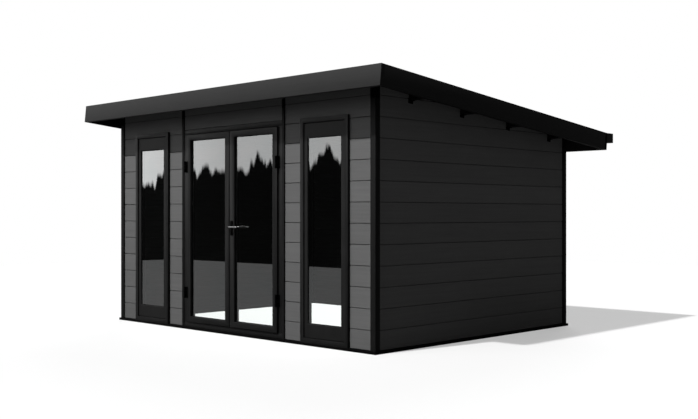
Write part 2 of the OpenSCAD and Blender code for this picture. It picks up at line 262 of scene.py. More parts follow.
# ---------------------------------------------------------------------------
# Materials
# ---------------------------------------------------------------------------
class Finish:
    """Node material built round one Principled shader."""

    def __init__(self, name, **plain):
        self.mat = bpy.data.materials.new(name)
        self.mat.use_nodes = True
        self.tree = self.mat.node_tree
        self.shader = self.tree.nodes["Principled BSDF"]
        self.out = self.tree.nodes["Material Output"]
        self.place = self.tree.nodes.new("ShaderNodeTexCoord").outputs["Object"]
        for socket, value in plain.items():
            self.shader.inputs[socket.replace("_", " ")].default_value = value

    def node(self, kind, inputs=(), **settings):
        made = self.tree.nodes.new(kind)
        for key, value in settings.items():
            setattr(made, key, value)
        for key, value in dict(inputs).items():
            if isinstance(value, bpy.types.NodeSocket):
                self.tree.links.new(value, made.inputs[key])
            else:
                made.inputs[key].default_value = value
        return made

    def grain(self, stretch, detail=4, rough=0.6, twist=0.0):
        """Noise at so many features a metre along each axis."""
        spread = self.node("ShaderNodeMapping", {"Vector": self.place, "Scale": stretch})
        return self.node("ShaderNodeTexNoise", {
            "Vector": spread.outputs[0], "Scale": 1.0, "Detail": detail,
            "Roughness": rough, "Distortion": twist,
        }).outputs[0]

    def span(self, value, lo, hi, out_lo, out_hi):
        return self.node("ShaderNodeMapRange", {
            "Value": value, "From Min": lo, "From Max": hi, "To Min": out_lo, "To Max": out_hi,
        }).outputs[0]

    def ramp(self, value, *stops):
        made = self.node("ShaderNodeValToRGB", {"Fac": value})
        points = made.color_ramp.elements
        while len(points) < len(stops):
            points.new(0.5)
        for point, (place, colour) in zip(points, stops):
            point.position, point.color = place, colour
        return made.outputs[0]

    def shade(self, colour, value, lo, hi):
        """Colour scaled by a value that is spread from lo to hi."""
        level = self.span(value, 0.25, 0.75, lo, hi)
        made = self.node("ShaderNodeMix", data_type="RGBA", blend_type="MULTIPLY")
        made.inputs[0].default_value = 1
        self.tree.links.new(colour, made.inputs[6])
        self.tree.links.new(level, made.inputs[7])
        return made.outputs[2]

    def tone(self):
        return self.node("ShaderNodeAttribute", attribute_name="tone").outputs["Fac"]

    def height(self):
        """Height above the ground."""
        return self.node("ShaderNodeSeparateXYZ", {"Vector": self.place}).outputs["Z"]

    def colour(self, socket):
        self.tree.links.new(socket, self.shader.inputs["Base Color"])

    def roughness(self, value, lo, hi):
        self.tree.links.new(self.span(value, 0.25, 0.75, lo, hi), self.shader.inputs["Roughness"])

    def bump(self, value, strength, distance=0.001):
        made = self.node("ShaderNodeBump", {"Height": value, "Strength": strength, "Distance": distance})
        self.tree.links.new(made.outputs[0], self.shader.inputs["Normal"])


def board_finish(name, level, painted_low_shade):
    """Matt composite board: fine level grain, soft streaks, one board a little off the next, and painted
    shade that darkens it towards the ground.
    """
    f = Finish(name, Specular_IOR_Level=0.15)
    fine = f.grain((7, 7, 620), 5, 0.65)
    streak = f.grain((1.3, 1.3, 46), 4, 0.6, 0.4)
    cloud = f.grain((2.2, 2.2, 2.2), 3, 0.5)
    base = f.ramp(streak, (0.3, grey(level - 4)), (0.7, grey(level + 4)))
    base = f.shade(base, fine, 0.93, 1.07)
    base = f.shade(base, cloud, 0.97, 1.03)
    base = f.shade(base, f.tone(), 0.94, 1.06)
    # Painted shade: the colour runs from painted_low_shade at the ground up to a little above full at the
    # top of the wall.
    base = f.shade(base, f.span(f.height(), 0.0, 2.4, 0.25, 0.75), painted_low_shade, 1.06)
    f.colour(base)
    f.roughness(streak, 0.62, 0.8)
    f.bump(fine, 0.25, 0.0006)
    return f.mat


def coated_finish(name, level, low=0.32, high=0.5, painted_low_shade=1.0, specular=0.5):
    """Powder coat: a fine orange-peel skin with faint dust; when painted_low_shade is below 1, also painted
    shade low down and a painted sky sheen high up.
    """
    f = Finish(name, Specular_IOR_Level=specular)
    peel = f.grain((900, 900, 900), 2, 0.5)
    dust = f.grain((9, 9, 5), 5, 0.65, 0.3)
    base = f.ramp(dust, (0.3, grey(level - 2)), (0.75, grey(level + 4)))
    base = f.shade(base, f.tone(), 0.95, 1.05)
    # Painted shade and painted reflection: the coat darkens towards the ground and brightens towards the
    # top, standing in for sky mirrored in the upper frames.
    if painted_low_shade != 1.0:
        base = f.shade(base, f.span(f.height(), 0.0, 2.3, 0.25, 0.75), painted_low_shade, 1.2)
    f.colour(base)
    f.roughness(dust, low, high)
    f.bump(peel, 0.12, 0.0003)
    return f.mat


def steel_finish(name):
    """Brushed stainless steel with the brushing along X."""
    f = Finish(name, Metallic=1.0)
    brush = f.grain((30, 2600, 2600), 4, 0.6)
    soft = f.grain((60, 60, 60), 3, 0.5)
    f.colour(f.shade(f.ramp(soft, (0.3, grey(150)), (0.7, grey(172))), brush, 0.94, 1.05))
    f.roughness(brush, 0.2, 0.34)
    f.bump(brush, 0.1, 0.0002)
    return f.mat


def glass_finish(name):
    """Coated glazing: clear, with one bright reflection off the face the eye meets."""
    f = Finish(name, Metallic=1.0)
    film = f.grain((3, 3, 5), 3, 0.5)
    f.colour(f.ramp(film, (0.3, (0.93, 0.96, 0.96, 1)), (0.7, (1, 1, 1, 1))))
    f.roughness(film, 0.0, 0.012)
    f.bump(f.grain((1.2, 1.2, 3.5), 1, 0.4), 0.02, 0.002)
    clear = f.node("ShaderNodeBsdfTransparent", {"Color": (0.97, 0.99, 0.98, 1)}).outputs[0]
    facing = f.node("ShaderNodeLayerWeight").outputs["Facing"]
    steep = f.node("ShaderNodeMath", {0: facing, 1: 2.0}, operation="POWER").outputs[0]
    front = f.node("ShaderNodeNewGeometry").outputs["Backfacing"]
    share = f.span(steep, 0.0, 1.0, GLASS_SHINE, 1.0)
    share = f.node("ShaderNodeMix", {0: front, 2: share, 3: 0.0}).outputs[0]
    mixed = f.node("ShaderNodeMixShader", {0: share, 1: clear, 2: f.shader.outputs[0]})
    f.tree.links.new(mixed.outputs[0], f.out.inputs["Surface"])
    return f.mat


def membrane_finish(name):
    """Dark roofing membrane, dusty, with a fine granular face."""
    f = Finish(name, Specular_IOR_Level=0.35)
    grit = f.grain((700, 700, 700), 3, 0.6)
    dust = f.grain((2.4, 2.4, 2.4), 6, 0.65, 0.5)
    base = f.ramp(dust, (0.3, grey(58)), (0.55, grey(68)), (0.8, grey(88, 0.04)))
    f.colour(f.shade(base, grit, 0.85, 1.15))
    f.roughness(dust, 0.6, 0.85)
    f.bump(grit, 0.4, 0.0008)
    return f.mat


def timber_finish(name, level):
    """Dark stained softwood with its grain down the slope of the roof."""
    f = Finish(name, Specular_IOR_Level=0.3)
    grain = f.grain((70, 2.5, 70), 5, 0.6, 0.6)
    fine = f.grain((420, 9, 420), 3, 0.6)
    base = f.ramp(grain, (0.3, grey(level - 10, 0.06)), (0.7, grey(level + 8, 0.05)))
    base = f.shade(base, fine, 0.9, 1.08)
    f.colour(f.shade(base, f.tone(), 0.85, 1.15))
    f.roughness(grain, 0.55, 0.75)
    f.bump(fine, 0.3, 0.0006)
    return f.mat


# The last number of each board finish is painted_low_shade: painted shade that darkens the board towards the
# ground.
board_mat = board_finish("composite_board", 104, 0.8)
# Painted light: the same board painted lighter (108 against 104) for the side and back walls, to lift them
# out of their shade.
shade_lifted_board_mat = board_finish("composite_board_side_painted_light", 108, 0.76)
fascia_mat = board_finish("fascia_board", 46, 1.0)
verge_mat = board_finish("verge_board", 19, 1.0)
post_mat = coated_finish("post_coat", 22, 0.5, 0.65, specular=0.08)
rail_mat = coated_finish("rail_coat", 4, 0.6, 0.75, specular=0.03)
# The frame coat's 0.5 is painted_low_shade: painted shade at the bottom of the frames and a painted sheen at
# the top.
frame_mat = coated_finish("frame_coat", 31, 0.36, 0.5, 0.5, specular=0.12)
black_mat = coated_finish("hinge_black", 2, 0.45, 0.6, specular=0.02)
gutter_mat = coated_finish("gutter_black", 20, 0.35, 0.5, specular=0.2)
rubber_mat = coated_finish("seal_rubber", 3, 0.6, 0.75, specular=0.02)
steel_mat = steel_finish("handle_steel")
glass_mat = glass_finish("coated_glass")
membrane_mat = membrane_finish("roof_membrane")
timber_mat = timber_finish("stained_deck", 44)


# ---------------------------------------------------------------------------
# Board walls
# ---------------------------------------------------------------------------
def board_outline(z0, z1):
    """Cross-section of one board: depth from the outer face, and height."""
    gap, chamfer, lap = 0.003, 0.0018, 0.014
    slot, slope, deep = 0.008, 0.003, wall_t - 0.012
    points = [
        (lap, z0), (lap, z0 + gap), (chamfer, z0 + gap), (0, z0 + gap + chamfer),
        (0, z1 - gap - chamfer), (chamfer, z1 - gap), (lap, z1 - gap), (lap, z1),
        (deep, z1), (deep, z1 - slot + slope), (wall_t, z1 - slot),
    ]
    k = math.floor((z1 - FIRST_JOINT) / INNER_STEP + 0.01)
    while FIRST_JOINT + k * INNER_STEP > z0 + 2 * slot:
        z = FIRST_JOINT + k * INNER_STEP
        if z < z1 - 2 * slot:
            points += [
                (wall_t, z + slot), (deep, z + slot - slope),
                (deep, z - slot + slope), (wall_t, z - slot),
            ]
        k -= 1
    return points + [(wall_t, z0 + slot), (deep, z0 + slot - slope), (deep, z0)]


def tone_of(*key):
    """A steady tone between 0.3 and 0.7 for one board."""
    return 0.5 + 0.4 * max(-0.5, min(0.5, noise.noise(Vector(key) * 7.31)))


def courses(z0, z1):
    """Bottom and top of each board between two heights."""
    k = math.floor((z0 - FIRST_JOINT) / COURSE + 1e-6)
    while FIRST_JOINT + k * COURSE < z1 - 0.002:
        lo = max(z0, FIRST_JOINT + k * COURSE)
        hi = min(z1, FIRST_JOINT + (k + 1) * COURSE)
        if hi - lo > 0.012:
            yield lo, hi
        k += 1


def front_place(a, d, z):
    return Vector((a, front_y + d, z))


def back_place(a, d, z):
    return Vector((a, back_y - d, z))


def side_place(side):
    return lambda a, d, z: Vector((side * (side_x - d), a, z))


top_z = deck_point.z + WALL_RISE


def add_boards(piece, a0, a1, z0, z1, place, key):
    """Boards from a0 to a1; key picks their tones."""
    for lo, hi in courses(z0, z1):
        piece.prism(board_outline(lo, hi), a0, a1, place, tone_of(key, lo * 5, a0 * 0.1 + 1))


for side, name in ((-1, "left"), (1, "right")):
    lo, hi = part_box(f"front_wall_{name}")
    win_lo, win_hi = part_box(f"window_frame_{name}")
    bay = Piece()
    over = FIRST_JOINT + COURSE * math.floor((win_hi.z - FIRST_JOINT) / COURSE)
    add_boards(bay, lo.x, win_lo.x, lo.z, over, front_place, 1.7)
    add_boards(bay, win_hi.x, hi.x, lo.z, over, front_place, 2.9)
    add_boards(bay, lo.x, hi.x, over, top_z, front_place, 3.1 * side)
    bay.trim_to_deck()
    bay.make(f"boards_front_{name}", board_mat, "shed", [f"front_wall_{name}"], "board_grey", 25)

    lo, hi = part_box(f"{name}_wall")
    wall = Piece()
    add_boards(wall, lo.y, hi.y, lo.z, top_z, side_place(side), 4.3 * side)
    wall.trim_to_deck()
    # The side walls take the board colour painted lighter, as painted light.
    wall.make(f"boards_side_{name}", shade_lifted_board_mat, "shed", [f"{name}_wall"], "board_grey", 25)

lo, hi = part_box("front_wall_over_door")
over_door = Piece()
add_boards(over_door, lo.x, hi.x, lo.z, top_z, front_place, 5.9)
over_door.trim_to_deck()
over_door.make("boards_over_door", board_mat, "shed", ["front_wall_over_door"], "board_grey", 25)

lo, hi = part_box("back_wall")
rear = Piece()
add_boards(rear, lo.x, hi.x, lo.z, top_z, back_place, 6.7)
rear.trim_to_deck()
# The back wall takes the board colour painted lighter, as painted light.
rear.make("boards_back", shade_lifted_board_mat, "shed", ["back_wall"], "board_grey", 25)

# ---------------------------------------------------------------------------
# Posts with black head shoes, and the base rails
# ---------------------------------------------------------------------------
POSTS = (
    "corner_post_front_left", "corner_post_front_right",
    "corner_post_back_left", "corner_post_back_right",
    "door_post_left", "door_post_right",
)
shoes = Piece()
for name in POSTS:
    lo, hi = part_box(name)
    middle = (lo + hi) / 2
    front_lo, front_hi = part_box("corner_post_front_left")
    shoe_z = front_hi.z - SHOE_H - (middle.y - front_lo.y) * math.tan(SLOPE)
    post = Piece()
    post.bar(lo, (hi.x, hi.y, shoe_z), 0.003)
    post.make(f"post_{name}", post_mat, "shed", [name], "post_black")
    shoes.bar((lo.x, lo.y, shoe_z), (hi.x, hi.y, top_z), 0.002)
shoes.trim_to_deck()
shoes.make("post_head_shoes", black_mat, "shed", slot="post_black")

for name in ("front", "back", "left", "right"):
    lo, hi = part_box(f"base_rail_{name}")
    rail = Piece()
    rail.bar(lo, hi, 0.003)
    rail.make(f"rail_{name}", rail_mat, "shed", [f"base_rail_{name}"], "rail_black")

# ---------------------------------------------------------------------------
# Windows
# ---------------------------------------------------------------------------
def pane(name, node, body):
    """Glass with ground edges."""
    lo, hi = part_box(node)
    glass = Piece()
    glass.bar(lo, hi, 0.0008, segments=1)
    return glass.make(name, glass_mat, body, [node], "glass")


def seal(piece, glass_lo, glass_hi, width, out, at=PLAIN):
    """Black glazing seal standing out from the face of a pane."""
    y = glass_lo.y
    piece.ring(
        (glass_lo.x, glass_hi.x, glass_lo.z, glass_hi.z), (width, width, width),
        [(0, 0, y), (0, 0, y - out), (1, -0.002, y - out), (1, 0, y - out / 2), (1, 0, y)], at,
    )


for name in ("left", "right"):
    lo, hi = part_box(f"window_frame_{name}")
    sash_lo, sash_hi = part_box(f"window_sash_{name}")
    glass_lo, glass_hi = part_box(f"window_glass_{name}")
    face = sash_lo.x - lo.x
    frame_ring = Piece()
    frame_ring.ring((lo.x, hi.x, lo.z, hi.z), (face, face, face), [
        (0, 0, hi.y), (0, 0, lo.y + 0.003), (0, 0.0009, lo.y + 0.0009), (0, 0.003, lo.y),
        (1, -0.004, lo.y), (1, -0.0012, lo.y + 0.0012), (1, 0, lo.y + 0.004), (1, 0, hi.y),
    ])
    frame_ring.make(f"frame_window_{name}", frame_mat, "shed", [f"window_frame_{name}"], "frame_black")

    y = sash_lo.y
    sash = Piece()
    sash.ring((sash_lo.x, sash_hi.x, sash_lo.z, sash_hi.z), (SASH_SIDE, SASH_LOW, SASH_HIGH), [
        (0, 0, sash_hi.y), (0, 0, y + 0.014), (0, 0.006, y + 0.014), (0, 0.006, y + 0.001),
        (0, 0.007, y), (1, -0.005, y), (1, -0.0035, y + 0.0015), (1, -0.0035, y + 0.004),
        (1, -0.0025, y + 0.0045), (1, -0.0005, y + 0.009), (1, 0, y + 0.0105), (1, 0, sash_hi.y - 0.002),
        (1, -0.002, sash_hi.y),
    ])
    sash.make(f"sash_window_{name}", frame_mat, "shed", [f"window_sash_{name}"], "frame_black")
    pane(f"pane_window_{name}", f"window_glass_{name}", "shed")
    gasket = Piece()
    seal(gasket, glass_lo, glass_hi, 0.005, 0.005)
    gasket.make(f"seal_window_{name}", rubber_mat, "shed", slot="hinge_black")

# ---------------------------------------------------------------------------
# Door frame
# ---------------------------------------------------------------------------
leaf_lo, leaf_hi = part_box("door_leaf_right")
head_lo, head_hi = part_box("door_head")
sill_lo, sill_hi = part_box("door_sill")
jamb_lo, jamb_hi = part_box("door_jamb_right")
hinge_lo, HINGE_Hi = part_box("frame_hinges")
stop_w = head_hi.z - head_lo.z - HEAD_FACE
jamb_x0 = jamb_lo.x + stop_w

for side, name in ((-1, "left"), (1, "right")):
    at = side_matrix(side)
    jamb = Piece()
    jamb.bar((jamb_x0, jamb_lo.y, jamb_lo.z), (jamb_hi.x, jamb_hi.y, jamb_hi.z), 0.002, at)
    jamb.bar((jamb_lo.x, jamb_hi.y - STOP_D, jamb_lo.z), (jamb_x0 + 0.002, jamb_hi.y, jamb_hi.z), 0.002, at)
    jamb.make(f"frame_jamb_{name}", frame_mat, "shed", [f"door_jamb_{name}"], "frame_black")

head = Piece()
head_z0 = head_lo.z + stop_w
head.bar((head_lo.x, head_lo.y, head_z0), head_hi, 0.002)
head.bar((-jamb_lo.x, head_hi.y - STOP_D, head_lo.z), (jamb_lo.x, head_hi.y, head_z0 + 0.002), 0.002)
head.make("frame_head", frame_mat, "shed", ["door_head"], "frame_black")

sill = Piece()
sill_z1 = sill_hi.z - stop_w
sill.bar(sill_lo, (sill_hi.x, sill_hi.y, sill_z1), 0.003)
sill.bar((-jamb_lo.x, sill_hi.y - STOP_D, sill_z1 - 0.002), (jamb_lo.x, sill_hi.y, sill_hi.z), 0.002)
sill.make("frame_sill", post_mat, "shed", ["door_sill"], "frame_black")

stop_seal = Piece()
stop_y = jamb_hi.y - STOP_D
for side in (-1, 1):
    stop_seal.bar(
        (jamb_lo.x + 0.003, stop_y - 0.002, sill_hi.z), (jamb_lo.x + 0.012, stop_y + 0.001, head_lo.z),
        0.001, side_matrix(side),
    )
for z in (sill_hi.z - 0.014, head_lo.z + 0.004):
    stop_seal.bar((-jamb_lo.x, stop_y - 0.002, z), (jamb_lo.x, stop_y + 0.001, z + 0.009), 0.001)
stop_seal.make("seal_door_stops", rubber_mat, "shed", slot="hinge_black")

# ---------------------------------------------------------------------------
# Door leaves
# ---------------------------------------------------------------------------
for side, name in ((-1, "left"), (1, "right")):
    at = side_matrix(side)
    y0, y1 = leaf_lo.y, leaf_hi.y
    glass_lo, glass_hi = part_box("door_glass_right")
    leaf = Piece()
    leaf.ring((leaf_lo.x, leaf_hi.x, leaf_lo.z, leaf_hi.z), (LEAF_SIDE, LEAF_LOW, LEAF_HIGH), [
        (0, 0, y1 - 0.002), (0, 0, y0 + 0.003), (0, 0.0009, y0 + 0.0009), (0, 0.003, y0),
        (1, -0.004, y0), (1, -0.0012, y0 + 0.0012), (1, 0, y0 + 0.004),
        (1, 0, y1 - 0.004), (1, -0.004, y1), (0, 0.002, y1),
    ], at)
    leaf.make(f"leaf_{name}", frame_mat, f"{name}_door", [f"door_leaf_{name}"], "frame_black")
    pane(f"pane_door_{name}", f"door_glass_{name}", f"{name}_door")
    gasket = Piece()
    seal(gasket, glass_lo, glass_hi, 0.007, 0.006, at)
    gasket.make(f"seal_door_{name}", rubber_mat, f"{name}_door", slot="hinge_black")

# ---------------------------------------------------------------------------
# Hinges
# ---------------------------------------------------------------------------
knuckle_h = HINGE_H / 3
axis_x = (leaf_hi.x + jamb_x0) / 2
axis_y = hinge_lo.y + KNUCKLE_R
hinge_zs = (hinge_lo.z + HINGE_H / 2, HINGE_Hi.z - HINGE_H / 2)


def knuckle(piece, z, height, at):
    r, c = KNUCKLE_R, KNUCKLE_EDGE
    piece.lathe([
        (0, -height / 2), (r - c, -height / 2), (r, -height / 2 + c),
        (r, height / 2 - c), (r - c, height / 2), (0, height / 2),
    ], at @ Matrix.Translation((axis_x, axis_y, z)))


def screw(piece, x, y, z, at, r=0.0042):
    """Low screw head facing -Y with a hexagon socket."""
    turned = at @ Matrix.Translation((x, y, z)) @ Matrix.Rotation(math.pi / 2, 4, "X")
    piece.lathe([
        (0, -0.002), (r, -0.002), (r, 0.0004), (r * 0.8, 0.0011), (r * 0.45, 0.0012),
        (r * 0.4, -0.0002), (0, -0.0002),
    ], turned, 12)


frame_hinge = Piece()
plate_x0 = axis_x + 0.003
for side in (-1, 1):
    at = side_matrix(side)
    for z in hinge_zs:
        for k in (-1, 1):
            knuckle(frame_hinge, z + k * knuckle_h, knuckle_h - 0.001, at)
            frame_hinge.bar(
                (axis_x + 0.002, axis_y, z + k * knuckle_h - knuckle_h / 2 + 0.0005),
                (axis_x + KNUCKLE_R, jamb_lo.y, z + k * knuckle_h + knuckle_h / 2 - 0.0005), 0.001, at,
            )
            screw(frame_hinge, plate_x0 + FRAME_SCREW_IN, jamb_lo.y - PLATE_T, z + k * 0.04, at)
        screw(frame_hinge, plate_x0 + FRAME_SCREW_IN, jamb_lo.y - PLATE_T, z, at)
        frame_hinge.lathe([
            (0, -HINGE_H / 2), (HINGE_PIN_R, -HINGE_H / 2), (HINGE_PIN_R, HINGE_H / 2), (0, HINGE_H / 2),
        ], at @ Matrix.Translation((axis_x, axis_y, z)))
        frame_hinge.bar(
            (plate_x0, jamb_lo.y - PLATE_T, z - HINGE_H / 2),
            (plate_x0 + FRAME_PLATE_W, jamb_lo.y, z + HINGE_H / 2), 0.0022, at,
        )
frame_hinge.make("hinges_frame", black_mat, "shed", ["frame_hinges"], "hinge_black")

for side, name in ((-1, "left"), (1, "right")):
    at = side_matrix(side)
    leaf_hinge = Piece()
    plate_x1 = axis_x - KNUCKLE_R - 0.002
    for z in hinge_zs:
        r0, r1 = HINGE_PIN_R + 0.00006, KNUCKLE_R
        h = knuckle_h / 2 - 0.001
        turn = at @ Matrix.Translation((axis_x, axis_y, z))
        leaf_hinge.lathe([
            (r0, -h), (r1 - KNUCKLE_EDGE, -h), (r1, -h + KNUCKLE_EDGE),
            (r1, h - KNUCKLE_EDGE), (r1 - KNUCKLE_EDGE, h), (r0, h), (r0, -h),
        ], turn)
        leaf_hinge.bar(
            (plate_x1 - 0.004, axis_y, z - h), (axis_x - HINGE_PIN_R - 0.002, leaf_lo.y, z + h), 0.001, at,
        )
        leaf_hinge.bar(
            (plate_x1 - LEAF_PLATE_W, leaf_lo.y - PLATE_T, z - HINGE_H / 2),
            (plate_x1, leaf_lo.y, z + HINGE_H / 2), 0.0022, at,
        )
        for k in (-1, 0, 1):
            screw(leaf_hinge, plate_x1 - LEAF_SCREW_IN, leaf_lo.y - PLATE_T, z + k * 0.042, at)
    bmesh.ops.remove_doubles(leaf_hinge.bm, verts=leaf_hinge.bm.verts[:], dist=1e-7)
    leaf_hinge.make(f"hinges_leaf_{name}", black_mat, f"{name}_door", [f"leaf_hinges_{name}"], "hinge_black")

# ---------------------------------------------------------------------------
# Handle plates, lever and lock
# ---------------------------------------------------------------------------
plates_lo, plates_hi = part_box("handle_plates")
lever_lo, lever_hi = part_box("door_lever")
lock_lo, lock_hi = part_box("lock_cylinder")
pivot_x = (plates_lo.x + plates_hi.x) / 2
pivot_z = plates_lo.z + 0.085
leaf_mid_y = (leaf_lo.y + leaf_hi.y) / 2
lever_out = leaf_lo.y - (lever_lo.y + NECK_R)
FACES = (PLAIN, Matrix.Translation((0, 2 * leaf_mid_y, 0)) @ Matrix.Scale(-1, 4, (0, 1, 0)))

plates = Piece()
for at in FACES:
    made = bmesh.ops.create_cube(plates.bm, size=1, matrix=at @ Matrix.Translation((
        pivot_x, (plates_lo.y + leaf_lo.y) / 2, (plates_lo.z + plates_hi.z) / 2,
    )) @ Matrix.Diagonal((plates_hi.x - plates_lo.x, leaf_lo.y - plates_lo.y, plates_hi.z - plates_lo.z, 1)))
    upright = [e for e in {e for v in made["verts"] for e in v.link_edges}
               if abs((e.verts[0].co - e.verts[1].co).normalized().y) > 0.9]
    bmesh.ops.bevel(plates.bm, geom=upright, offset=0.009, segments=6, profile=0.5, affect="EDGES")
    outer = plates_lo.y if at is PLAIN else plates_hi.y
    rim = [e for e in plates.bm.edges if all(abs(v.co.y - outer) < 1e-5 for v in e.verts)]
    bmesh.ops.bevel(plates.bm, geom=rim, offset=0.0018, segments=3, profile=0.5, affect="EDGES")
    plates.mark(0.5)
    for z in (plates_lo.z + 0.009, plates_hi.z - 0.009):
        screw(plates, pivot_x, plates_lo.y, z, at, 0.0036)
plates.make("plates_handle", black_mat, "right_door", ["handle_plates"], "hinge_black")


def arc(cx, cy, r, t0, t1, steps):
    turn = [t0 + (t1 - t0) * k / steps for k in range(steps + 1)]
    return [(cx + r * math.cos(t), cy + r * math.sin(t)) for t in turn]


lever = Piece()
bend, reach = 0.013, lever_hi.x - pivot_x
path = [(0, 0.0088), (0, 0.018), (0, lever_out - bend)]
path += arc(bend, lever_out - bend, bend, math.pi, math.pi / 2, 8)[1:]
straight = [bend + (reach - LEVER_R - bend) * k / 8 for k in range(1, 9)]
path += [(a, lever_out) for a in straight]
cap = [(reach - LEVER_R + LEVER_R * math.sin(t), math.cos(t)) for t in (0.35, 0.7, 1.0, 1.25, 1.45)]
radii = [(0.0088, 0.0088)] + [(0.0078, 0.0078)] * 2 + [(0.0076, 0.008)] * 8
radii += [(0.0075 - 0.001 * k / 8, LEVER_R) for k in range(1, 9)]
path += [(a, lever_out) for a, _ in cap]
radii += [(0.0065 * c, LEVER_R * c) for _, c in cap]
for at in FACES:
    turn = at @ Matrix.Translation((pivot_x, leaf_lo.y, pivot_z)) @ Matrix.Scale(-1, 4, (0, 1, 0))
    lever.tube(path, radii, turn, 24)
    lever.lathe([
        (0, 0.0082), (NECK_R - 0.0002, 0.0082), (NECK_R - 0.0002, 0.011), (0.0084, 0.0118), (0, 0.0118),
    ], turn @ Matrix.Rotation(-math.pi / 2, 4, "X"))
lever.make("lever_handle", steel_mat, "lever", ["door_lever"], "handle_steel", 50)

lock = Piece()
lock_r, slot_w, slot_h, steps = lock_hi.x - pivot_x, 0.0011, 0.0042, 24
for at in FACES:
    base = Vector((pivot_x, lock_lo.y, (lock_lo.z + lock_hi.z) / 2))
    loops = []
    deep = plates_lo.y - lock_lo.y
    for r_x, r_z, y in (
        (lock_r, lock_r, deep), (lock_r, lock_r, 0.0008), (lock_r - 0.0008, lock_r - 0.0008, 0),
        (slot_w, slot_h, 0), (slot_w, slot_h, 0.0028),
    ):
        turn = [2 * math.pi * k / steps for k in range(steps)]
        loops.append([
            lock.bm.verts.new(at @ (base + Vector((r_x * math.cos(t), y, r_z * math.sin(t))))) for t in turn
        ])
    for here, after in zip(loops, loops[1:]):
        for k in range(steps):
            m = (k + 1) % steps
            lock.bm.faces.new((here[k], here[m], after[m], after[k]))
    lock.bm.faces.new(loops[0])
    lock.bm.faces.new(loops[-1])
    lock.mark(0.5)
lock.make("lock_core", black_mat, "right_door", ["lock_cylinder"], "handle_steel")

# ---------------------------------------------------------------------------
# Roof
# ---------------------------------------------------------------------------
def roof_place(a, p, q):
    """a runs down the slope, p across and q square to the roof."""
    return ROOF @ Vector((p, a, q))


# Painted shade: the end faces of each fascia get a darker finish than its front, the verge colour on the
# front fascia and black on the back fascia, where the ends stand in shade.
for name, y0, shaded_end_mat in (("front", 0, verge_mat), ("back", roof_len - FASCIA_T, rail_mat)):
    board = Piece()
    board.bar((-roof_half, y0, -FASCIA_H), (roof_half, y0 + FASCIA_T, 0), 0.0025, ROOF)
    piece = board.make(f"fascia_{name}", fascia_mat, "shed", [f"{name}_fascia"], "fascia_dark")
    piece.data.materials.append(shaded_end_mat)
    for face in piece.data.polygons:
        face.material_index = int(abs(face.normal.x) > 0.9)
for side, name in ((-1, "left"), (1, "right")):
    board = Piece()
    board.bar(
        (deck_x, FASCIA_T + 0.0005, -FASCIA_H), (roof_half, roof_len - FASCIA_T - 0.0005, 0), 0.0025,
        side_matrix(side) @ ROOF,
    )
    board.make(f"verge_{name}", verge_mat, "shed", [f"{name}_verge"], "fascia_dark")

deck = Piece()
planks, vee = 48, 0.003
pitch = 2 * deck_x / planks
for i in range(planks):
    x0, x1 = -deck_x + i * pitch, -deck_x + (i + 1) * pitch
    deck.prism([
        (x0, DECK_TOP), (x1, DECK_TOP), (x1, -DECK_DROP + vee), (x1 - vee, -DECK_DROP),
        (x0 + vee, -DECK_DROP), (x0, -DECK_DROP + vee),
    ], FASCIA_T, roof_len - FASCIA_T, roof_place, tone_of(8.3, i * 0.37, 2.2))
deck.make("deck_planks", timber_mat, "shed", ["roof_deck"], "roof_deck", 25)

cover = Piece()
cols, rows = 72, 60
x_at = [-deck_x + 2 * deck_x * i / cols for i in range(cols + 1)]
y_at = [FASCIA_T + (roof_len - 2 * FASCIA_T) * j / rows for j in range(rows + 1)]
grid = []
for y in y_at:
    line = []
    for x in x_at:
        swell = 0.0009 * noise.noise(Vector((x * 1.7, y * 1.7, 3.0))) + COVER_FACE
        line.append(cover.bm.verts.new(ROOF @ Vector((x, y, swell))))
    grid.append(line)
for j in range(rows):
    for i in range(cols):
        cover.bm.faces.new((grid[j][i], grid[j][i + 1], grid[j + 1][i + 1], grid[j + 1][i]))
edge = [e for e in cover.bm.edges if e.is_boundary]
skirt = bmesh.ops.extrude_edge_only(cover.bm, edges=edge)
down = [v for v in skirt["geom"] if isinstance(v, bmesh.types.BMVert)]
for v in down:
    v.co -= deck_normal * COVER_T
bmesh.ops.holes_fill(cover.bm, edges=[e for e in cover.bm.edges if e.is_boundary], sides=0)
cover.mark(0.5)
for x in COVER_SEAMS:
    cover.bar((x - 0.03, FASCIA_T, -0.0175), (x + 0.03, roof_len - FASCIA_T, -0.0132), 0.0012, ROOF)
upstand = [
    (0, COVER_BASE), (0, -0.0022), (0.0025, -0.0022),
    (0.004, -0.010), (0.02, -0.0165), (0.02, COVER_BASE),
]
for side in (-1, 1):
    cover.prism(
        [(deck_x - p, q) for p, q in upstand], FASCIA_T, roof_len - FASCIA_T,
        lambda a, p, q: roof_place(a, side * p, q),
    )
for y0, way in ((FASCIA_T, 1), (roof_len - FASCIA_T, -1)):
    cover.prism(upstand, -deck_x, deck_x, lambda a, p, q: ROOF @ Vector((a, y0 + way * p, q)))
cover.make("membrane_cover", membrane_mat, "shed", ["roof_covering"], "roof_covering")

